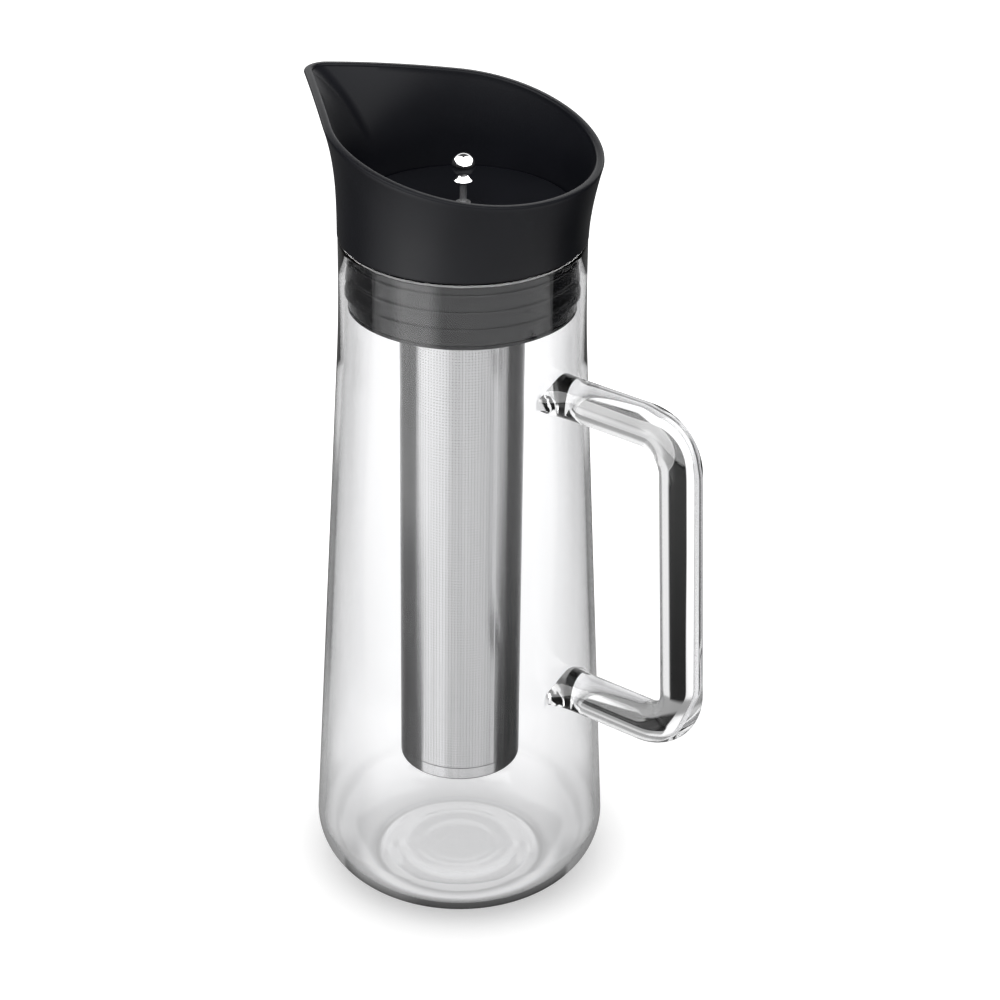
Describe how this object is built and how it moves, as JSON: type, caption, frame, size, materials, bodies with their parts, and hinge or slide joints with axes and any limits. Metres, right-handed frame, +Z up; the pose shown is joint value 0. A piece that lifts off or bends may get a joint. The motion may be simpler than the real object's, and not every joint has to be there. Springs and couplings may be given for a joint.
{
  "type": "cold brew coffee maker",
  "caption": "Glass cold brew carafe with a side handle, a spouted pour lid with a hinged ball-knob flap, and a hanging perforated steel filter.",
  "frame": {"origin": "centre of the plane that the glass base rests on, on the carafe's axis", "axes": "+Z up along the carafe's axis, +X towards the handle, -X towards the pouring spout"},
  "size_m": [0.1733, 0.1064, 0.2998],
  "materials": {
    "glass": "clear borosilicate glass",
    "black_plastic": "satin moulded plastic",
    "silicone": "matte silicone",
    "filter_steel": "finely perforated stainless sheet",
    "polished_steel": "polished stainless steel"
  },
  "bodies": {
    "carafe": {"carafe_body": "glass", "carafe_handle": "glass"},
    "lid": {"pour_funnel": "black_plastic", "lid_insert": "black_plastic", "neck_seal": "silicone", "funnel_gasket": "silicone", "hinge_pin": "polished_steel"},
    "flap": {"flap_disc": "black_plastic", "flap_gasket": "silicone", "knob_ball": "polished_steel", "knob_stem": "polished_steel", "knob_washer": "polished_steel", "knob_nut": "polished_steel"},
    "filter": {"filter_collar": "black_plastic", "filter_o_ring": "silicone", "filter_top_band": "filter_steel", "filter_tube": "filter_steel", "filter_cap": "filter_steel"}
  },
  "joints": [
    {"name": "lid_lift", "type": "slide", "parent": "carafe", "child": "lid", "axis": [0, 0, 1], "range_m": [0, 0.22]},
    {"name": "flap_hinge", "type": "hinge", "parent": "lid", "child": "flap", "pos_m": [0.036, 0, 0.2665], "axis": [0, 1, 0], "range_deg": [0, 65]},
    {"name": "filter_pull", "type": "slide", "parent": "lid", "child": "filter", "axis": [0, 0, -1], "range_m": [0, 0.035]}
  ]
}
